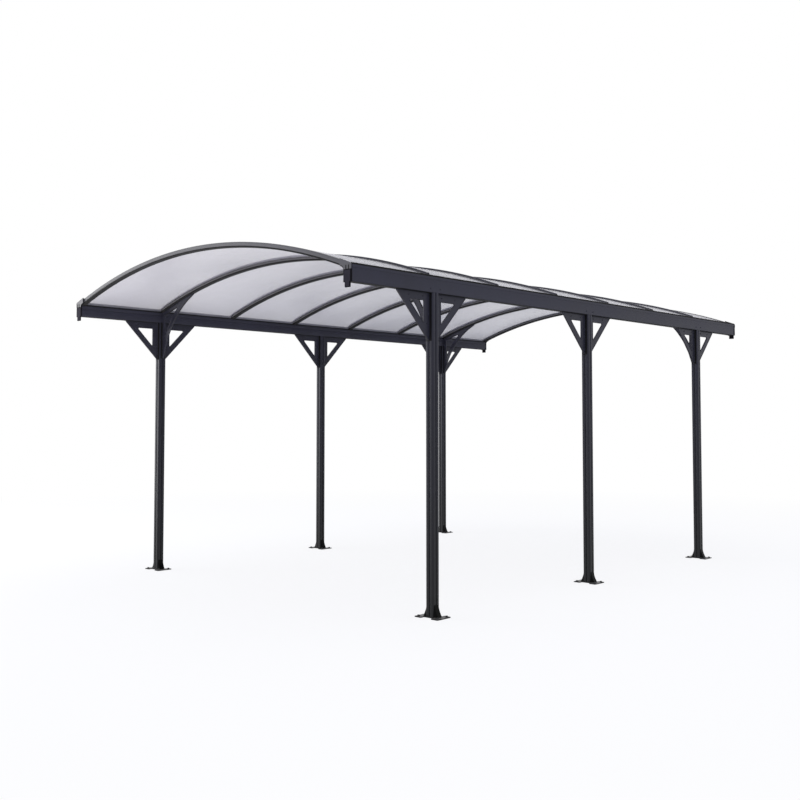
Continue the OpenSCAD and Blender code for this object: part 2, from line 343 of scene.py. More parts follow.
def new_piece(name, shape, material, nodes=()):
    """Puts points and faces into a mesh, turns the faces outwards and sets the piece on its body."""
    sharp = math.radians(32.0)
    mesh = bpy.data.meshes.new(name)
    mesh.from_pydata(shape[0].tolist(), [], shape[1])
    shell = bmesh.new()
    shell.from_mesh(mesh)
    bmesh.ops.recalc_face_normals(shell, faces=shell.faces)
    shell.to_mesh(mesh)
    shell.free()
    mesh.shade_smooth()
    mesh.set_sharp_from_angle(angle=sharp)
    mesh.materials.append(material)
    piece = bpy.data.objects.new(name, mesh)
    bpy.context.scene.collection.objects.link(piece)
    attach(piece, "root")
    if nodes:
        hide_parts(*nodes)


# The arch


class Arch:
    """Circles of the roof's section, all about one centre below the ground."""

    def __init__(self, sizes):
        self.top = sizes.arch_radius
        self.cover = self.top - sizes.cover
        self.panel_out = self.cover - sizes.seat_gap
        self.panel_in = self.panel_out - sizes.panel
        self.seat = self.panel_in - sizes.seat_gap
        self.rib_in = self.seat - sizes.rib_body
        self.centre = RIB_HIGH[2] - self.top
        self.half = RIB_HIGH[0]
        self.beam_in = BEAM_LOW[0]
        self.beam_top = BEAM_HIGH[2] - sizes.lip
        self.steps = sizes.arc_steps

    def height(self, radius, x):
        """Height of a circle at x."""
        return self.centre + np.sqrt(radius ** 2 - x ** 2)

    def sweep(self, section, half=None):
        """A section of Y and radius carried over the arch: every ring keeps Y and lies on its own circle."""
        half = self.half if half is None else half
        x = np.linspace(-half, half, self.steps)[:, None]
        y, radius = np.broadcast_to(section[:, 0], (self.steps, len(section))), section[:, 1]
        return tube(np.stack([np.broadcast_to(x, y.shape), y, self.height(radius, x)], -1))

    def coped(self, section):
        """A rib's section carried over the arch. Past the beams' inner faces the body's points are
        squeezed between the beam's top and the seat, so that the rib stands on the beam."""
        inner = np.linspace(-self.beam_in, self.beam_in, self.steps)
        outer = np.linspace(self.beam_in, self.half, 5)
        x = np.concatenate([-outer[::-1], inner, outer])[:, None]
        over = np.repeat([True, False, True], [len(outer), len(inner), len(outer)])[:, None]
        y, radius = np.broadcast_to(section[:, 0], (len(x), len(section))), section[:, 1]
        share = np.clip((radius - self.rib_in) / (self.seat - self.rib_in), 0, 1)
        squeezed = self.beam_top + share * (self.height(self.seat, x) - self.beam_top)
        plain = self.height(radius, x)
        z = np.where(over & (radius < self.seat), squeezed, plain)
        return tube(np.stack([np.broadcast_to(x, y.shape), y, z], -1))


# Shader groups and materials


class Tree:
    """Adds nodes to a node tree and links them by socket name."""

    def __init__(self, tree):
        self.tree = tree

    def add(self, kind, settings=None, **sockets):
        """A node of a kind, with settings on the node and values or links on its input sockets."""
        node = self.tree.nodes.new(kind)
        for key, value in (settings or {}).items():
            setattr(node, key, value)
        for key, value in sockets.items():
            socket = node.inputs[int(key[1:])] if key[0] == "i" and key[1:].isdigit() else node.inputs[key]
            self.put(socket, value)
        return node

    def put(self, socket, value):
        """A value or a link on a socket."""
        if isinstance(value, bpy.types.NodeSocket):
            self.tree.links.new(value, socket)
        else:
            socket.default_value = value

    def math(self, operation, first, second=0.0):
        """A Math node's result."""
        return self.add("ShaderNodeMath", {"operation": operation}, i0=first, i1=second).outputs[0]

    def ramp(self, value, low, high, out_low=0.0, out_high=1.0):
        """A value spread from one range to another."""
        node = self.add("ShaderNodeMapRange", {"clamp": True}, i0=value, i1=low, i2=high, i3=out_low,
                        i4=out_high)
        return node.outputs[0]

    def mix(self, share, first, second):
        """Two colours mixed by a share."""
        node = self.add("ShaderNodeMix", {"data_type": "RGBA"}, i0=share, i6=first, i7=second)
        return node.outputs[2]

    def shades(self, share, plain, dark, pale):
        """A colour between its own darker and paler shade, mixed by a share."""
        return self.mix(share, (*(c * dark for c in plain), 1), (*(c * pale for c in plain), 1))

    def place(self):
        """The object's own coordinates."""
        return self.add("ShaderNodeTexCoord").outputs["Object"]

    def axis(self, vector, name):
        """One axis of a vector."""
        return self.add("ShaderNodeSeparateXYZ", i0=vector).outputs[name]

    def noise(self, scale, detail, roughness):
        """Noise over the object's own coordinates."""
        sockets = {"Vector": self.place(), "Scale": scale, "Detail": detail, "Roughness": roughness}
        return self.add("ShaderNodeTexNoise", **sockets).outputs["Fac"]

    def bump(self, shader, height, strength, distance):
        """Bends a shader's normal by a height."""
        node = self.add("ShaderNodeBump", Strength=strength, Distance=distance, Height=height)
        self.put(shader.inputs["Normal"], node.outputs["Normal"])


def new_group(name, inputs, outputs):
    """An empty shader group with float inputs and outputs: (tree helper, input node, output node)."""
    group = bpy.data.node_groups.new(name, "ShaderNodeTree")
    for label, default in inputs.items():
        socket = group.interface.new_socket(label, in_out="INPUT", socket_type="NodeSocketFloat")
        socket.default_value = default
    for label in outputs:
        group.interface.new_socket(label, in_out="OUTPUT", socket_type="NodeSocketFloat")
    tree = Tree(group)
    return tree, tree.add("NodeGroupInput"), tree.add("NodeGroupOutput")


def coat_grain_group():
    """Powder coat: fine orange peel for the bump, and slow clouds for colour and gloss."""
    tree, given, made = new_group("coat_grain", {"Peel": 900.0, "Clouds": 3.0}, ["Height", "Cloud"])
    peel = tree.noise(given.outputs["Peel"], detail=2.0, roughness=0.5)
    cloud = tree.noise(given.outputs["Clouds"], detail=4.0, roughness=0.6)
    tree.put(made.inputs["Height"], peel)
    tree.put(made.inputs["Cloud"], tree.ramp(cloud, 0.3, 0.7))
    return tree.tree


def edge_wear_group():
    """Rubbed edges: where a rounded copy of the normal departs from the true one, broken up by noise."""
    tree, given, made = new_group("edge_wear", {"Radius": 0.002, "Amount": 0.5}, ["Mask"])
    soft = tree.add("ShaderNodeBevel", {"samples": 4}, Radius=given.outputs["Radius"]).outputs["Normal"]
    true = tree.add("ShaderNodeNewGeometry").outputs["Normal"]
    dot = tree.add("ShaderNodeVectorMath", {"operation": "DOT_PRODUCT"}, i0=soft, i1=true).outputs["Value"]
    patch = tree.noise(60.0, detail=5.0, roughness=0.65)
    bare = tree.math("MULTIPLY", tree.ramp(dot, 0.995, 0.9), tree.ramp(patch, 0.35, 0.7))
    tree.put(made.inputs["Mask"], tree.math("MULTIPLY", bare, given.outputs["Amount"]))
    return tree.tree


def dust_group():
    """Dust: lies on faces that look up, thicker in patches. A second mask marks the faces that look down."""
    tree, given, made = new_group("settled_dust", {"Amount": 0.2}, ["Mask", "Under"])
    up = tree.axis(tree.add("ShaderNodeNewGeometry").outputs["Normal"], "Z")
    patch = tree.noise(2.2, detail=6.0, roughness=0.6)
    speck = tree.noise(140.0, detail=3.0, roughness=0.7)
    lying = tree.math("MULTIPLY", tree.ramp(up, 0.65, 0.95), tree.ramp(patch, 0.3, 0.75, 0.35, 1.0))
    broken = tree.math("MULTIPLY", lying, tree.ramp(speck, 0.25, 0.7, 0.4, 1.0))
    tree.put(made.inputs["Mask"], tree.math("MULTIPLY", broken, given.outputs["Amount"]))
    tree.put(made.inputs["Under"], tree.ramp(up, -0.5, -0.9))
    return tree.tree


def flute_group():
    """Twin-wall sheet: webs at a fixed pitch along Y, as a mask of the web and a rippled height."""
    tree, given, made = new_group("flutes", {"Pitch": 6 * MM, "Web": 0.16}, ["Web", "Ripple"])
    soft = 0.03
    y = tree.axis(tree.place(), "Y")
    turn = tree.math("FRACT", tree.math("DIVIDE", y, given.outputs["Pitch"]))
    off = tree.math("ABSOLUTE", tree.math("SUBTRACT", turn, 0.5))
    edge = tree.math("MULTIPLY", given.outputs["Web"], 0.5)
    tree.put(made.inputs["Web"], tree.ramp(tree.math("SUBTRACT", edge, off), -soft, soft))
    tree.put(made.inputs["Ripple"], tree.math("COSINE", tree.math("MULTIPLY", turn, 2 * math.pi)))
    return tree.tree


class Finishes:
    """The materials of the carport, each built once."""

    def __init__(self, colours):
        self.colours = colours
        self.groups = {"grain": coat_grain_group(), "wear": edge_wear_group(), "dust": dust_group(),
                       "flutes": flute_group()}
        self.coat = self.painted("anthracite_coat", colours.coat, rough=0.38)
        self.beam = self.painted("beam_coat", colours.beam, rough=0.44)
        # The ribs' paler coat paints the light on their faces.
        self.rib = self.painted("rib_coat_painted_light", colours.rib, rough=0.4, shine=0.3)
        self.hat = self.painted("hat_coat", colours.rib, rough=0.34, shine=0.3)
        self.foot = self.painted("foot_coat", colours.foot, rough=0.2, dust=0.6, shine=0.06)
        self.cap = self.moulded("cap_plastic", colours.cap, rough=0.55, shine=0.02)
        self.cap_face = self.moulded("cap_face", colours.cap_face, rough=0.55, shine=0.02)
        self.sheet = self.smoky_sheet("smoky_twin_wall", colours.sheet)
        self.seal = self.moulded("eave_seal", colours.seal, rough=0.6)
        # Black rubber, whose black also serves as painted shade in the hats' slots and beside the braces.
        self.rubber = self.moulded("black_rubber_and_painted_shade", colours.rubber, rough=0.75)
        self.steel = self.zinc("zinc_steel", colours.steel)

    def start(self, name):
        """A new material: (material, tree helper, shader)."""
        material = bpy.data.materials.new(name)
        material.use_nodes = True
        shader = material.node_tree.nodes["Principled BSDF"]
        return material, Tree(material.node_tree), shader

    def group(self, tree, key, **values):
        """A shared group placed in a material with its own values."""
        node = tree.add("ShaderNodeGroup", {"node_tree": self.groups[key]})
        for label, value in values.items():
            node.inputs[label].default_value = value
        return node.outputs

    def dusted(self, tree, shader, tone, lying):
        """Puts a tone on a shader, with dust over it where the mask says."""
        tree.put(shader.inputs["Base Color"], tree.mix(lying, tone, (*self.colours.dust, 1)))

    def painted(self, name, paint, rough, dust=0.1, shine=0.2):
        """Powder coat: clouds in tone and gloss, painted shade near the ground and on faces that look down,
        with orange peel, rubbed edges and settled dust."""
        material, tree, shader = self.start(name)
        grain = self.group(tree, "grain", Peel=900.0, Clouds=2.5)
        wear = self.group(tree, "wear", Radius=2 * MM, Amount=0.3)["Mask"]
        settled = self.group(tree, "dust", Amount=dust)
        lying, under = settled["Mask"], settled["Under"]
        # Painted shade: a darker grey for the coat near the ground.
        painted_ground_shade = [0.46 * sum(paint) / 3] * 3
        # Painted shade: a near-black for faces that look down.
        painted_underside_shade = [0.12 * c for c in self.colours.worn]
        tone = tree.shades(grain["Cloud"], paint, dark=0.82, pale=1.14)
        # Painted shade: the share of the plain tone, none at the ground and full from 1.9 m up.
        painted_shade_fade = tree.ramp(tree.axis(tree.place(), "Z"), 0.1, 1.9)
        tone = tree.mix(painted_shade_fade, (*painted_ground_shade, 1), tone)
        # Painted shade: faces that look down take the near-black.
        tone = tree.mix(under, tone, (*painted_underside_shade, 1))
        self.dusted(tree, shader, tree.mix(wear, tone, (*self.colours.worn, 1)), lying)
        gloss = tree.ramp(grain["Cloud"], 0, 1, rough - 0.05, rough + 0.06)
        matt = tree.math("ADD", tree.math("MULTIPLY", lying, 0.4), tree.math("MULTIPLY", under, 0.5))
        tree.put(shader.inputs["Roughness"], tree.math("MINIMUM", tree.math("ADD", gloss, matt), 1.0))
        tree.bump(shader, grain["Height"], strength=0.06, distance=0.3 * MM)
        shader.inputs["Specular IOR Level"].default_value = shine
        return material

    def moulded(self, name, plain, rough, shine=0.2):
        """Moulded plastic or rubber: fine texture, slight clouds in tone and a little dust."""
        material, tree, shader = self.start(name)
        grain = self.group(tree, "grain", Peel=1400.0, Clouds=6.0)
        lying = self.group(tree, "dust", Amount=0.12)["Mask"]
        self.dusted(tree, shader, tree.shades(grain["Cloud"], plain, dark=0.85, pale=1.12), lying)
        tree.put(shader.inputs["Roughness"], tree.ramp(grain["Height"], 0.2, 0.8, rough - 0.08, rough + 0.08))
        tree.bump(shader, grain["Height"], strength=0.12, distance=0.2 * MM)
        shader.inputs["Specular IOR Level"].default_value = shine
        return material

    def zinc(self, name, plain):
        """Zinc-plated steel: metal with cloudy gloss."""
        material, tree, shader = self.start(name)
        grain = self.group(tree, "grain", Peel=700.0, Clouds=40.0)
        tree.put(shader.inputs["Base Color"], tree.shades(grain["Cloud"], plain, dark=0.75, pale=1.2))
        tree.put(shader.inputs["Roughness"], tree.ramp(grain["Cloud"], 0, 1, 0.28, 0.46))
        shader.inputs["Metallic"].default_value = 1.0
        return material

    def smoky_sheet(self, name, smoke):
        """Smoky twin-wall sheet: see-through between its webs, with a faint ripple and light clouds, the
        clouds a painted reflection. Grime gathers towards the eaves, and the upper face is glossier than the
        lower one and painted paler, as a painted reflection at grazing angles."""
        material, tree, shader = self.start(name)
        flutes = self.group(tree, "flutes", Pitch=6 * MM, Web=0.14)
        grain = self.group(tree, "grain", Peel=500.0, Clouds=1.1)
        settled = self.group(tree, "dust", Amount=0.1)
        lying, under = settled["Mask"], settled["Under"]
        # Painted reflection: light clouds in tone and in cover stand in for soft reflections of a cloudy sky.
        tone = tree.shades(grain["Cloud"], smoke, dark=0.94, pale=1.06)
        # Painted reflection: the upper face takes the paler colour, faces that look down keep the smoke.
        self.dusted(tree, shader, tree.mix(under, (*self.colours.painted_sheen_colour, 1), tone), lying)
        painted_cloud_cover = tree.ramp(grain["Cloud"], 0, 1, 0.56, 0.44)
        webs = tree.math("MULTIPLY", flutes["Web"], 0.06)
        grime = tree.ramp(tree.axis(tree.place(), "Z"), 2.1, 2.36, 0.03, -0.06)
        cover = tree.math("ADD", tree.math("ADD", painted_cloud_cover, webs), grime)
        tree.put(shader.inputs["Alpha"], tree.math("ADD", cover, lying))
        gloss = tree.ramp(grain["Cloud"], 0, 1, 0.18, 0.3)
        tree.put(shader.inputs["Roughness"], tree.math("ADD", gloss, tree.math("MULTIPLY", under, 0.12)))
        tree.bump(shader, flutes["Ripple"], strength=0.08, distance=0.15 * MM)
        shader.inputs["Specular IOR Level"].default_value = 0.5
        return material


_finishes = []


def finishes():
    """The materials, made at the first call."""
    if not _finishes:
        _finishes.append(Finishes(bpy.context.scene.carport_colours))
    return _finishes[0]


# Pieces


def post_shape(sizes, low, high):
    """A rounded square with a groove down each face, carried up the post."""
    half = (high[0] - low[0]) / 2
    lip, floor = sizes.groove / 2, half - sizes.groove_depth
    lip_round, floor_round = 1.2 * MM, 0.8 * MM
    face = np.array([[half, -half], [half, -lip], [floor, -lip], [floor, lip], [half, lip]])
    quarter = np.array([[0, -1], [1, 0]])
    corners = np.concatenate([face @ np.linalg.matrix_power(quarter, k).T for k in range(4)])
    radii = np.tile([sizes.post_round, lip_round, floor_round, floor_round, lip_round], 4)
    loop = rounded_loop(corners, radii, 5) + (low[:2] + high[:2]) / 2
    return upright(loop, low[2], high[2])


def foot_plate_shape(sizes, centre):
    """A rounded rectangle with a notch in front of the post and one behind it, with broken edges."""
    x, y = (FOOT_HIGH - FOOT_LOW)[:2] / 2
    notch, root = sizes.notch / 2, POST_HALF[1] + sizes.notch_edge
    deep, mouth, edge = 6 * MM, 5 * MM, 0.8 * MM
    side = np.array([[notch, -root], [notch, -y], [x, -y], [x, y], [notch, y], [notch, root]])
    radii = np.tile([deep, mouth, sizes.plate_round, sizes.plate_round, mouth, deep], 2)
    loop = rounded_loop(np.concatenate([side, -side]), radii, 5)
    return slab(loop + centre[:2], 0.0, sizes.plate, edge, 2)


def flare_shape(sizes, way):
    """Flare on one side of a post: its reach is the share of height still to climb, raised to a power,
    and across its width the reach falls to the post's face as 1 - |u| to the tenth."""
    thin, taper, blunt = 1.2 * MM, 0.14, 10
    rise = np.linspace(0, 1, 21)[:, None]
    u = np.linspace(-1, 1, 33)[None, :]
    tall = FOOT_HIGH[2] - sizes.plate
    reach = thin + (sizes.flare_reach - thin) * (1 - rise) ** sizes.flare_curve
    height = sizes.flare_tip + (tall - sizes.flare_tip) * rise
    half = sizes.flare / 2 * (1 - taper * rise)
    x = reach * (1 - np.abs(u) ** blunt)
    rows = np.stack([x, half * u, np.broadcast_to(height, x.shape)], -1)
    foot = rows[:1] * [1, 1, 0]
    grid = np.concatenate([foot, rows])
    count, columns = grid.shape[:2]
    left = [k * columns for k in range(count)]
    right = [k * columns + columns - 1 for k in range(count)]
    top = list(range((count - 1) * columns + 1, count * columns - 1))
    faces = quads(count, columns, wrap_columns=False)
    faces += [list(range(columns)), left + top + right[::-1]]
    points = grid.reshape(-1, 3) + [POST_HALF[0], 0, sizes.plate]
    return points * [way, way, 1], faces


def foot_shape(sizes, centre):
    """A notched plate with a flare on the inner and the outer side of the post."""
    flares = [flare_shape(sizes, way) for way in (-1, 1)]
    return join([foot_plate_shape(sizes, centre), copies(join(flares), [[centre[0], centre[1], 0]])])


def beam_shape(sizes, side):
    """The beam's section, with its sunk outer face, upstanding lip and slotted inner face, carried along
    the eave."""
    (inner, front, low), (outer, back, high) = BEAM_LOW, BEAM_HIGH
    top, sunk, lip = high - sizes.lip, outer - sizes.band_depth, outer - sizes.lip_wall
    under, over = low + sizes.band, top - sizes.band
    slot, slot_share = 2.5 * MM, 0.62
    slot_low = low + slot_share * (top - low)
    slot_high, slot_floor = slot_low + slot, inner + slot
    soft, crisp, lip_round, root, shoulder = 2 * MM, 0.5 * MM, 1.2 * MM, 0.8 * MM, 1.5 * MM
    section = [
        (inner, low, soft), (outer, low, soft), (outer, under, crisp), (sunk, under, crisp),
        (sunk, over, crisp), (outer, over, crisp), (outer, high, lip_round), (lip, high, lip_round),
        (lip, top, root), (inner, top, shoulder), (inner, slot_high, crisp), (slot_floor, slot_high, crisp),
        (slot_floor, slot_low, crisp), (inner, slot_low, crisp),
    ]
    return along(outlined(section, 3) * [side, 1], front, back)


def cap_edges(sizes):
    """Places of an end cap's edges: its inner and outer side, its base and the two sides of its tongue."""
    outer = CAP_HIGH[0]
    inner = outer - BEAM_WIDTH - 2 * sizes.cap_proud
    left, right = (inner + outer + np.array([-1, 1]) * sizes.tongue) / 2
    return inner, outer, BEAM_LOW[2] - sizes.cap_proud, left, right


def cap_layer(low, high, proud):
    """From inside an end cap to a little proud of its outer face, along Y."""
    root = 2 * MM
    face = low if low < 0 else high
    return sorted([face - math.copysign(root, face), face + math.copysign(proud, face)])


def cap_shape(sizes, arch, side, low, high):
    """End cap: the beam's section with a wing under the arch's end and a drip tongue."""
    inner, outer, base, left, right = cap_edges(sizes)
    wing, bottom, gap = CAP_LOW[0], CAP_LOW[2], 2 * MM
    crest = sizes.arch_radius + sizes.hat_proud
    tip = arch.height(arch.rib_in, wing) - gap
    corner, nook, crown, sweep, edge = 4 * MM, 2 * MM, 15 * MM, 26 * MM, 1.2 * MM
    outline = [
        (left, bottom, corner), (right, bottom, corner), (right, base, nook), (outer, base, corner),
        (outer, arch.height(crest, outer), crown), (wing, arch.height(crest, wing), nook), (wing, tip, nook),
        (inner, tip - sizes.wing_drop, sweep), (inner, base, corner), (left, base, nook),
    ]
    return slab(outlined(outline, 6) * [side, 1], low, high, edge, 1)


def cap_face_shape(sizes, arch, side, low, high):
    """Face plate of an end cap: the cap's outline drawn in from its edges, from the hat down the tongue."""
    inner, outer, base, left, right = cap_edges(sizes)
    inset, rim, corner, edge = 5 * MM, 9 * MM, 2 * MM, 0.6 * MM
    bottom, foot, top = CAP_LOW[2] + inset, base + inset, arch.beam_top - sizes.hat_drop - inset
    corners = [
        [left + inset, bottom], [right - inset, bottom], [right - inset, foot], [outer - rim, foot],
        [outer - rim, top], [inner + inset, top], [inner + inset, foot], [left + inset, foot],
    ]
    loop = rounded_loop(corners, corner)
    return slab(loop * [side, 1], *cap_layer(low, high, sizes.face_thick), edge, 1)


def hat_shape(sizes, arch, side, low, high):
    """Hat of an end cap: a plate over the arch's end that follows the roof's top line."""
    inner, outer = cap_edges(sizes)[:2]
    wing, over, set_in = CAP_LOW[0], 0.6 * MM, 3 * MM
    near, far, end = inner + set_in, outer + over, wing - over
    crest = sizes.arch_radius + sizes.hat_proud + over
    foot = arch.beam_top - sizes.hat_drop
    tip = arch.height(arch.rib_in, wing) + set_in
    corner, crown, nook, sweep, edge = 3 * MM, 15 * MM, 2 * MM, 20 * MM, 0.9 * MM
    outline = [
        (near, foot, corner), (far, foot, corner), (far, arch.height(crest, outer), crown),
        (end, arch.height(crest, wing), nook), (end, tip, nook), (near, tip - sizes.wing_drop, sweep),
    ]
    return slab(outlined(outline, 6) * [side, 1], *cap_layer(low, high, sizes.hat_thick), edge, 1)


def hat_slots(sizes, arch, side, low, high):
    """Two dark slots in the lower part of a hat: black plates a little proud of it, whose black paints the
    shade inside the slots.
    """
    half, rise, past, corner, proud = 4.5 * MM, 5 * MM, 0.5 * MM, 2 * MM, 0.3 * MM
    bottom, top = arch.beam_top - sizes.hat_drop - past, arch.beam_top + rise
    slots = []
    for off in (-9 * MM, 13 * MM):
        x = (BEAM_LOW[0] + BEAM_HIGH[0]) / 2 + off
        loop = rounded_loop(rectangle([x - half, bottom], [x + half, top]), corner, 3)
        slots.append(slab(loop * [side, 1], *cap_layer(low, high, sizes.hat_thick + proud), proud, 1))
    return slots


def rib_shape(sizes, arch, y, outer):
    """Rib: a box below the panels, a neck between them and a cover strip over them. On the roof's
    outer edge the neck is closed flush with the box."""
    half, neck = RIB_HALF, sizes.neck / 2
    foot, ledge, nook, crown = 4 * MM, 0.7 * MM, 0.4 * MM, 1.8 * MM
    slot = np.array([(half, arch.seat, ledge), (neck, arch.seat, nook), (neck, arch.cover, nook),
                     (half, arch.cover, ledge)])
    right = [] if outer > 0 else slot
    left = [] if outer < 0 else slot[::-1] * [-1, 1, 1]
    section = [
        (-half, arch.rib_in, foot), (half, arch.rib_in, foot), *right,
        (half, arch.top, crown), (-half, arch.top, crown), *left,
    ]
    return arch.coped(outlined(section, 3) + [y, 0])


def crest_shape(sizes, arch, y):
    """Snap-on crest over an inner rib: a trapezium of Y and radius with rounded top edges, over the arch."""
    set_in, slope, root, crisp, soft = 3 * MM, 5 * MM, 1 * MM, 0.5 * MM, 3 * MM
    half, low, top = RIB_HALF - set_in, arch.top - root, arch.top + sizes.crest
    section = [(-half, low, crisp), (half, low, crisp), (half - slope, top, soft), (slope - half, top, soft)]
    return arch.sweep(outlined(section, 3) + [y, 0], arch.beam_in)


def trim_shape(sizes, arch, y, way):
    """Dark trim along the lower edge of one of a rib's faces, between the beams."""
    root, proud, lift, corner = 2 * MM, 0.8 * MM, 1 * MM, 0.5 * MM
    face = y + way * RIB_HALF
    near, far = sorted([face - way * root, face + way * proud])
    strip = rectangle([near, arch.rib_in + lift], [far, arch.rib_in + sizes.trim])
    return arch.sweep(rounded_loop(strip, corner, 2), arch.beam_in)


def panel_shape(arch, low, high):
    """Roof sheet: a thin rounded rectangle of Y and radius, carried over the arch."""
    corner = 0.6 * MM
    return arch.sweep(rounded_loop(rectangle([low, arch.panel_in], [high, arch.panel_out]), corner, 2))


def gasket_shapes(arch, y, outer):
    """Thin rubber lines where a rib holds its panels, above and below, on each side that has a panel."""
    root, proud, slim, deep, corner = 2 * MM, 1.1 * MM, 0.9 * MM, 1.3 * MM, 0.5 * MM
    bands = [(arch.cover - deep, arch.cover + slim), (arch.seat - slim, arch.seat + deep)]
    lines = []
    for way in (-1, 1):
        if way == outer:
            continue
        near, far = sorted([y + way * (RIB_HALF - root), y + way * (RIB_HALF + proud)])
        for low, high in bands:
            line = rounded_loop(rectangle([near, low], [far, high]), corner, 2)
            lines.append(arch.sweep(line, arch.beam_in))
    return lines


def seal_shape(arch, side, low, high):
    """Sealing strip between beam and panel: a wedge under the panel's lower face, rib to rib, whose front
    is ribbed by the squared cosine of its share of height."""
    inner, outer = SEAL_LOW[0], SEAL_HIGH[0]
    depth, waves = 1.2 * MM, 3
    share = np.linspace(0, 1, 9)
    front = inner + depth * np.cos(share * waves * math.pi) ** 2
    rise = arch.beam_top + share * (arch.height(arch.seat, inner) - arch.beam_top)
    back = [[outer, arch.beam_top], [outer, arch.height(arch.seat, outer)]]
    return along(np.concatenate([np.column_stack([front, rise])[::-1], back]) * [side, 1], low, high)


def beam_gaskets(sizes, arch, side):
    """Rubber lines of a beam: a bead on the lip's top and a strip along the inner top edge."""
    (inner, front, _), (outer, back, top) = BEAM_LOW, BEAM_HIGH
    wrap, grip, skin, bead_round = 1.5 * MM, 3 * MM, 0.2 * MM, 2 * MM
    bead = rectangle([outer - sizes.lip_wall - wrap, top - grip], [outer + skin, top + sizes.bead])
    proud, root, drop, rise, strip_round = 1 * MM, 2 * MM, 9 * MM, 0.5 * MM, 0.8 * MM
    strip = rectangle([inner - proud, arch.beam_top - drop], [inner + root, arch.beam_top + rise])
    loops = [rounded_loop(bead, bead_round, 3), rounded_loop(strip, strip_round, 2)]
    return [along(loop * [side, 1], front, back) for loop in loops]


def framed_plate(sizes, outer, inner, thick):
    """Plate with a hole: rings run round the section, from the outer edge over a raised rim, a sunk
    web and the hole's rim to the hole, and back on the other face. Returns points as (ring, point, 3)
    with the two plane coordinates first and the thickness last."""
    h, edge, slope, rim, sunk = thick / 2, 1.0 * MM, 1.5 * MM, sizes.rim, sizes.web
    way = unit(inner - outer)
    stops = [(outer, edge), (outer, 0), (outer, 0), (outer, edge), (outer, rim), (outer, rim + slope),
             (inner, -rim - slope), (inner, -rim), (inner, -edge), (inner, 0), (inner, 0), (inner, -edge),
             (inner, -rim), (inner, -rim - slope), (outer, rim + slope), (outer, rim)]
    heights = [-h, edge - h, h - edge, h, h, h - sunk, h - sunk, h, h, h - edge, edge - h, -h, -h,
               sunk - h, sunk - h, -h]
    rings = [np.column_stack([loop + way * step, np.full(len(loop), z)])
             for (loop, step), z in zip(stops, heights)]
    return np.stack(rings)


def beam_brace_shape(sizes, x, face, way):
    """Triangular frame in Y and Z between a post's face and the beam, standing off both by the pads."""
    leg, tip, start = BEAM_LOW[2] - BRACE_LOW[2], sizes.brace_tip, sizes.pad
    hole = leg + tip - sizes.strut * math.sqrt(2)
    side, drop, blunt = sizes.bar_post, sizes.bar_top, 10 * MM
    across, down = hole - drop - blunt, hole - side - blunt
    heel, toe, nook, bend = 4 * MM, 2.5 * MM, 5 * MM, 4 * MM
    outer = [(start, start, heel), (leg, start, toe), (leg, tip, toe), (tip, leg, toe), (start, leg, toe)]
    inner = [(side, drop, nook), (across, drop, bend), (across, drop + blunt, bend),
             (side + blunt, down, bend), (side, down, bend)]
    rings = framed_plate(sizes, outlined(outer, 4), outlined(inner, 4), BRACE_THICK)
    place = np.stack([x + rings[..., 2], face + way * rings[..., 0], BEAM_LOW[2] - rings[..., 1]], -1)
    return hoop(place)


def arc_centre(a, b, radius):
    """Centre of the circle of a radius through a and b, on the right of the way from a to b."""
    d = b - a
    span_length = np.linalg.norm(d)
    off = math.sqrt(radius ** 2 - (span_length / 2) ** 2)
    return (a + b) / 2 + off * np.array([d[1], -d[0]]) / span_length


def cross_brace_shape(sizes, arch, side, y):
    """Frame in X and Z between a post's inner face and its rib: the top bar follows the rib's circle,
    and the strut lies between two circles about one centre."""
    face, tip, low = CROSS_HIGH[0] - sizes.pad, CROSS_LOW[0], CROSS_LOW[2]
    rib = arch.rib_in - sizes.seat_gap
    bar = rib - sizes.cross_bar
    blunt, bends = sizes.brace_tip, 5
    start = np.array([tip, arch.height(rib, tip) - blunt])
    end = np.array([CROSS_HIGH[0] - blunt, low])
    centre = arc_centre(start, end, sizes.cross_radius)
    inside = sizes.cross_radius + sizes.cross_strut

    def curve(radius, x0, x1):
        """Points of a circle about the arch's centre, between two ends."""
        x = np.linspace(x0, x1, bends + 2)[1:-1]
        return np.column_stack([x, arch.height(radius, x)])

    def strut(radius, x0, x1):
        """Points of a circle about the strut's centre, between two ends."""
        turn = np.linspace(*(math.acos((x - centre[0]) / radius) for x in (x0, x1)), bends + 2)[1:-1]
        return centre + radius * np.column_stack([np.cos(turn), np.sin(turn)])

    def rise(x):
        """Height of the strut's upper edge."""
        return centre[1] + np.sqrt(inside ** 2 - (x - centre[0]) ** 2)

    right = CROSS_HIGH[0] - sizes.cross_post
    sill, margin, narrow = right - blunt, 20 * MM, 12 * MM
    trial = np.linspace(right - margin, tip, 400)
    corner = trial[np.argmax(arch.height(bar, trial) - rise(trial) < narrow)]
    outer = [[face, low], [face, arch.height(rib, face)], *curve(rib, face, tip),
             [tip, arch.height(rib, tip)], start, *strut(sizes.cross_radius, tip, end[0]), end]
    inner = [[right, rise(sill)], [right, arch.height(bar, right)], *curve(bar, right, corner),
             [corner, arch.height(bar, corner)], [corner, rise(corner)], *strut(inside, corner, sill),
             [sill, rise(sill)]]
    heel, toe, nook, elbow, ease = 3 * MM, 2 * MM, 3 * MM, 5 * MM, 0.7
    flat, bent = [ease * arch.rib_in] * bends, [ease * sizes.cross_radius] * bends
    outer_loop = rounded_loop(outer, [heel, heel, *flat, toe, toe, *bent, toe], 4)
    inner_loop = rounded_loop(inner, [nook, elbow, *flat, nook, nook, *bent, nook], 4)
    rings = framed_plate(sizes, outer_loop, inner_loop, CROSS_THICK)
    return hoop(np.stack([side * rings[..., 0], y + rings[..., 2], rings[..., 1]], -1))


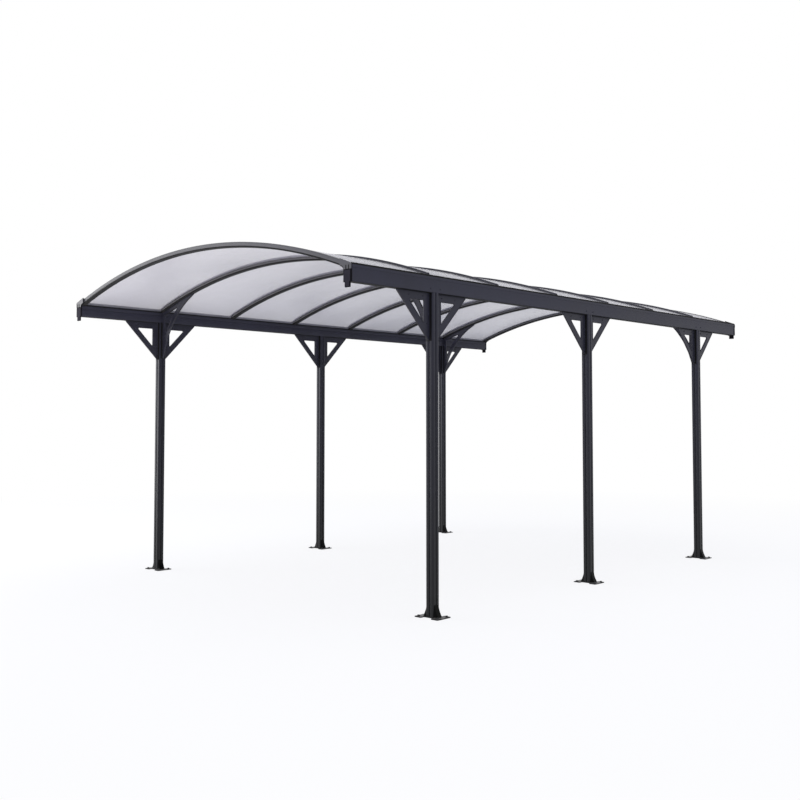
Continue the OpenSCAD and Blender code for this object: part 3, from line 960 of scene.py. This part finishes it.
def screw_shape(radius):
    """Pan head with a hexagon socket."""
    r, h = radius, radius * 0.62
    profile = [(0.2 * r, 0.45 * h), (0.42 * r, 0.45 * h), (0.42 * r, 0.96 * h), (0.72 * r, h),
               (0.93 * r, 0.7 * h), (r, 0.3 * h), (r, -0.3 * h)]
    return turned(profile, 18, [1, 1, 1, 0, 0, 0, 0])


def bolt_shape(radius):
    """Hexagon bolt head on a round washer."""
    r = radius
    profile = [(1.75 * r, -0.1 * r), (1.75 * r, 0.22 * r), (1.66 * r, 0.28 * r), (0.95 * r, 0.28 * r),
               (r, 0.32 * r), (r, 0.9 * r), (0.9 * r, 1.05 * r), (0.25 * r, 1.05 * r)]
    return turned(profile, 24, [0, 0, 0, 1, 1, 1, 0, 0])


# Operators


class CARPORT_OT_posts(bpy.types.Operator):
    """Builds the six grooved posts"""
    bl_idname = "carport.posts"
    bl_label = "Posts"

    def execute(self, context):
        for post in POSTS:
            shape = post_shape(context.scene.carport_sizes, *span(f"{post}_post"))
            new_piece(f"{post}_post_profile", shape, finishes().coat, [f"{post}_post"])
        return {"FINISHED"}


class CARPORT_OT_feet(bpy.types.Operator):
    """Builds the notched foot plates with their flares, and the anchor bolts"""
    bl_idname = "carport.feet"
    bl_label = "Feet"

    def execute(self, context):
        sizes = context.scene.carport_sizes
        for post in POSTS:
            shape = foot_shape(sizes, middle(f"{post}_post"))
            new_piece(f"{post}_foot_casting", shape, finishes().foot, [f"{post}_foot"])
        corners = np.array([[a, b, 0] for a in (-1, 1) for b in (-1, 1)]) / 2
        spread = corners * [sizes.anchor_x, sizes.anchor_y, 0] + [0, 0, sizes.plate]
        places = np.concatenate([spread + middle(f"{p}_post") * [1, 1, 0] for p in POSTS])
        new_piece("anchor_bolts", copies(bolt_shape(sizes.bolt), places), finishes().steel)
        return {"FINISHED"}


class CARPORT_OT_eave_beams(bpy.types.Operator):
    """Builds the two eave beams"""
    bl_idname = "carport.eave_beams"
    bl_label = "Eave beams"

    def execute(self, context):
        for name, side in SIDES.items():
            shape = beam_shape(context.scene.carport_sizes, side)
            new_piece(f"{name}_eave_profile", shape, finishes().beam, [f"{name}_eave_beam"])
        return {"FINISHED"}


class CARPORT_OT_end_caps(bpy.types.Operator):
    """Builds the four end caps of the beams, with their face plates and slotted hats"""
    bl_idname = "carport.end_caps"
    bl_label = "End caps"

    def execute(self, context):
        sizes = context.scene.carport_sizes
        arch = Arch(sizes)
        faces, hats, slots = [], [], []
        for corner in CORNERS:
            node = f"{corner}_end_cap"
            low, high = span(node)
            place = (sizes, arch, SIDES[corner.split("_")[1]], low[1], high[1])
            new_piece(f"{corner}_cap_moulding", cap_shape(*place), finishes().cap, [node])
            faces.append(cap_face_shape(*place))
            hats.append(hat_shape(*place))
            slots += hat_slots(*place)
        new_piece("end_cap_faces", join(faces), finishes().cap_face)
        new_piece("end_cap_hats", join(hats), finishes().hat)
        # Painted shade: the slots are black plates.
        new_piece("end_cap_slots", join(slots), finishes().rubber)
        return {"FINISHED"}


class CARPORT_OT_arch_ribs(bpy.types.Operator):
    """Builds the eight arched ribs with their crests and trims, and the gaskets that hold the panels"""
    bl_idname = "carport.arch_ribs"
    bl_label = "Arched ribs"

    def execute(self, context):
        sizes = context.scene.carport_sizes
        arch = Arch(sizes)
        lines, crests, trims = [], [], []
        for rib in RIBS:
            outer = {"front": -1, "back": 1}.get(rib.split("_")[0], 0)
            y = middle(rib)[1]
            new_piece(f"{rib}_profile", rib_shape(sizes, arch, y, outer), finishes().rib, [rib])
            lines += gasket_shapes(arch, y, outer)
            trims += [trim_shape(sizes, arch, y, way) for way in (-1, 1)]
            if not outer:
                crests.append(crest_shape(sizes, arch, y))
        new_piece("rib_gaskets", join(lines), finishes().rubber)
        new_piece("rib_crests", join(crests), finishes().coat)
        new_piece("rib_trims", join(trims), finishes().rubber)
        return {"FINISHED"}


class CARPORT_OT_roof_panels(bpy.types.Operator):
    """Builds the seven arched roof sheets"""
    bl_idname = "carport.roof_panels"
    bl_label = "Roof panels"

    def execute(self, context):
        arch = Arch(context.scene.carport_sizes)
        for panel in PANELS:
            low, high = span(panel)
            shape = panel_shape(arch, low[1], high[1])
            new_piece(f"{panel}_sheet", shape, finishes().sheet, [panel])
        return {"FINISHED"}


class CARPORT_OT_eave_seals(bpy.types.Operator):
    """Builds the sealing strips between beams and panels, rib to rib, and the beams' rubber lines"""
    bl_idname = "carport.eave_seals"
    bl_label = "Eave seals"

    def execute(self, context):
        sizes = context.scene.carport_sizes
        arch, gap = Arch(sizes), sizes.seat_gap
        starts, ends = np.array([span(rib) for rib in RIBS])[:, :, 1].T
        for name, side in SIDES.items():
            strips = [seal_shape(arch, side, low + gap, high - gap)
                      for low, high in zip(ends[:-1], starts[1:])]
            node = f"{name}_eave_seal"
            new_piece(f"{name}_eave_gasket", join(strips), finishes().seal, [node])
        lines = [line for side in SIDES.values() for line in beam_gaskets(sizes, arch, side)]
        new_piece("beam_gaskets", join(lines), finishes().rubber)
        return {"FINISHED"}


class CARPORT_OT_braces(bpy.types.Operator):
    """Builds the beam braces and cross braces with their rubber pads, whose black beside the braces paints
    the shade of the gaps
    """
    bl_idname = "carport.braces"
    bl_label = "Braces"

    def execute(self, context):
        sizes = context.scene.carport_sizes
        arch = Arch(sizes)
        flat = POST_HALF[0] - sizes.post_round
        top, drop = BEAM_LOW[2], BEAM_LOW[2] - BRACE_LOW[2]
        corner, below = 0.6 * MM, 3 * MM
        # Partly real and partly painted shade: the black pads lay a dark gap line beside each brace along the
        # post and under the beam.
        pads = []
        for post in POSTS:
            low, high = span(f"{post}_post")
            x = (low[0] + high[0]) / 2
            pair = []
            for face, way in ((low[1], -1), (high[1], 1)):
                pair.append(beam_brace_shape(sizes, x, face, way))
                against = sorted([face, face + way * sizes.pad])
                under = sorted([face + way * sizes.pad, face + way * drop])
                standing = rounded_loop(rectangle([x - flat, against[0]], [x + flat, against[1]]), corner, 2)
                lying = rounded_loop(rectangle([x - flat, top - sizes.pad], [x + flat, top]), corner, 2)
                pads += [upright(standing, top - drop - below, top), along(lying, *under)]
            node = f"{post}_beam_braces"
            new_piece(f"{post}_braces_cast", join(pair), finishes().coat, [node])
        inner = CROSS_HIGH[0]
        for post in CORNERS:
            side = SIDES[post.split("_")[1]]
            y = middle(f"{post}_post")[1]
            shape = cross_brace_shape(sizes, arch, side, y)
            new_piece(f"{post}_cross_cast", shape, finishes().coat, [f"{post}_cross_brace"])
            standing = rounded_loop(rectangle([inner - sizes.pad, y - flat], [inner, y + flat]), corner, 2)
            pads.append(upright(standing * [side, 1], CROSS_LOW[2], top))
        new_piece("brace_pads_and_gap_shade", join(pads), finishes().rubber)
        return {"FINISHED"}


class CARPORT_OT_screws(bpy.types.Operator):
    """Sets the screws of beams, braces and posts"""
    bl_idname = "carport.screws"
    bl_label = "Screws"

    def execute(self, context):
        sizes = context.scene.carport_sizes
        eave, outside = BEAM_LOW[2], BEAM_HIGH[0] - sizes.band_depth
        web = BRACE_THICK / 2 - sizes.web
        beam_off, beam_up, post_off, post_up = 45 * MM, 24 * MM, 14 * MM, 108 * MM
        brace_places = np.array([(60, 25), (190, 25), (25, 190)]) * MM
        places, ways = [], []
        for post in POSTS:
            side = SIDES[post.split("_")[1]]
            x, y = middle(f"{post}_post")[:2]
            for way in (-1, 1):
                places.append([side * outside, y + way * beam_off, eave + beam_up])
                ways.append(side)
                for face in (-1, 1):
                    for out, down in brace_places:
                        places.append([x + face * web, y + way * (POST_HALF[1] + out), eave - down])
                        ways.append(face)
                places.append([x + way * POST_HALF[0], y + post_off, post_up])
                ways.append(way)
        turns = np.array([sideways(way) for way in ways])
        shape = copies(screw_shape(sizes.screw), places, turns)
        new_piece("frame_screws", shape, finishes().coat)
        return {"FINISHED"}


class CARPORT_OT_stage(bpy.types.Operator):
    """Sets the floor, the world, the lamps and the camera"""
    bl_idname = "carport.stage"
    bl_label = "Stage"

    def execute(self, context):
        stage, scene = context.scene.carport_stage, context.scene
        scene.view_settings.view_transform = "Standard"
        floor = self.floor(scene)
        self.world(scene, stage.sky, scene.carport_colours.sky)
        self.lamp(scene, "key_panel", stage.key, place=(-7.08, -4.29, 2.5), target=(0.92, 1.71, 2.5),
                  size=(7.0, 5.0))
        self.lamp(scene, "top_panel", stage.top, place=(0.5, -0.5, 8.0), target=(0.0, 0.0, 0.0),
                  size=(6.0, 8.0))
        fill = self.lamp(scene, "front_fill", stage.fill, place=(-0.3, -3.0, 0.15), target=(-0.2, -1.9, 2.3),
                         size=(2.4, 1.6))
        fill.data.color = stage.warm
        uprights = [o for o in scene.objects if o.name.endswith(("_post_profile", "_foot_casting"))]
        self.spare(fill, [floor, *uprights])
        self.camera(scene, stage)
        return {"FINISHED"}

    def seen(self, tree):
        """One for rays that show the backdrop: camera, glossy and transmission rays."""
        path = tree.add("ShaderNodeLightPath").outputs
        first = tree.math("MAXIMUM", path["Is Camera Ray"], path["Is Glossy Ray"])
        return tree.math("MAXIMUM", first, path["Is Transmission Ray"])

    def floor(self, scene):
        """A wide pale floor: it takes the shadow, and fades to plain white with distance."""
        half, fade_from, fade_to, paleness = 60.0, 3.0, 9.0, 0.82
        mesh = bpy.data.meshes.new("floor")
        corners = [[-half, -half, 0], [half, -half, 0], [half, half, 0], [-half, half, 0]]
        mesh.from_pydata(corners, [], [[0, 1, 2, 3]])
        material = bpy.data.materials.new("pale_floor")
        material.use_nodes = True
        tree = Tree(material.node_tree)
        shader = material.node_tree.nodes["Principled BSDF"]
        shader.inputs["Base Color"].default_value = (*scene.carport_colours.floor, 1)
        shader.inputs["Roughness"].default_value = 0.9
        shader.inputs["Specular IOR Level"].default_value = 0.0
        white = tree.add("ShaderNodeEmission", Strength=1.0)
        far = tree.add("ShaderNodeVectorMath", {"operation": "LENGTH"}, i0=tree.place()).outputs["Value"]
        share = tree.math("MULTIPLY", self.seen(tree), tree.ramp(far, fade_from, fade_to, paleness, 1.0))
        blend = tree.add("ShaderNodeMixShader", i0=share, i1=shader.outputs[0], i2=white.outputs[0])
        tree.put(material.node_tree.nodes["Material Output"].inputs["Surface"], blend.outputs[0])
        mesh.materials.append(material)
        floor = bpy.data.objects.new("floor", mesh)
        scene.collection.objects.link(floor)
        return floor

    def world(self, scene, strength, tint):
        """White behind everything, and a plain level of cool light from all round."""
        world = bpy.data.worlds.new("studio")
        world.use_nodes = True
        tree = Tree(world.node_tree)
        back = world.node_tree.nodes["Background"]
        seen = self.seen(tree)
        tree.put(back.inputs["Color"], tree.mix(seen, (*tint, 1), (1, 1, 1, 1)))
        tree.put(back.inputs["Strength"], tree.ramp(seen, 0, 1, strength, 1.0))
        scene.world = world

    def lamp(self, scene, name, power, place, target, size):
        """A soft rectangular lamp that looks at a target."""
        data = bpy.data.lights.new(name, "AREA")
        data.shape, data.energy = "RECTANGLE", power
        data.size, data.size_y = size
        lamp = bpy.data.objects.new(name, data)
        lamp.location = place
        lamp.rotation_euler = (Vector(target) - Vector(place)).to_track_quat("-Z", "Y").to_euler()
        lamp.visible_camera = False
        scene.collection.objects.link(lamp)
        return lamp

    def spare(self, lamp, things):
        """Keeps a lamp's light off some things, by light linking."""
        spared = bpy.data.collections.new(f"{lamp.name}_spares")
        lamp.light_linking.receiver_collection = spared
        for thing in things:
            spared.objects.link(thing)
        for member in spared.collection_objects:
            member.light_linking.link_state = "EXCLUDE"

    def camera(self, scene, stage):
        """The camera of the photograph's view."""
        data = bpy.data.cameras.new("camera")
        data.lens, data.sensor_width, data.shift_y = stage.lens, 36.0, stage.shift
        camera = bpy.data.objects.new("camera", data)
        camera.location = stage.eye
        camera.rotation_euler = (math.pi / 2 + stage.tilt, 0.0, stage.turn)
        scene.collection.objects.link(camera)
        scene.camera = camera


# Registration


OPERATORS = [
    CARPORT_OT_posts, CARPORT_OT_feet, CARPORT_OT_eave_beams, CARPORT_OT_end_caps, CARPORT_OT_arch_ribs,
    CARPORT_OT_roof_panels, CARPORT_OT_eave_seals, CARPORT_OT_braces, CARPORT_OT_screws, CARPORT_OT_stage,
]


class CARPORT_PT_panel(bpy.types.Panel):
    """Lists the carport's steps and the values that they use"""
    bl_label = "Arched Carport"
    bl_idname = "CARPORT_PT_panel"
    bl_space_type = "VIEW_3D"
    bl_region_type = "UI"
    bl_category = "Carport"

    def draw(self, context):
        for operator in OPERATORS:
            self.layout.operator(operator.bl_idname)
        for group in GROUPS:
            box = self.layout.box()
            values = getattr(context.scene, group)
            for key in GROUPS[group].__annotations__:
                box.prop(values, key)


GROUPS = {"carport_sizes": CarportSizes, "carport_colours": CarportColours, "carport_stage": CarportStage}
CLASSES = [*GROUPS.values(), *OPERATORS, CARPORT_PT_panel]


def register():
    """Registers the classes and hangs the values on the scene."""
    for item in CLASSES:
        bpy.utils.register_class(item)
    for name, group in GROUPS.items():
        setattr(bpy.types.Scene, name, PointerProperty(type=group))


def unregister():
    """Takes the values off the scene and unregisters the classes."""
    for name in GROUPS:
        delattr(bpy.types.Scene, name)
    for item in reversed(CLASSES):
        bpy.utils.unregister_class(item)


def main():
    """Builds every piece and the stage."""
    register()
    for operator in OPERATORS:
        family, step = operator.bl_idname.split(".")
        getattr(getattr(bpy.ops, family), step)()


if __name__ == "__main__":
    main()
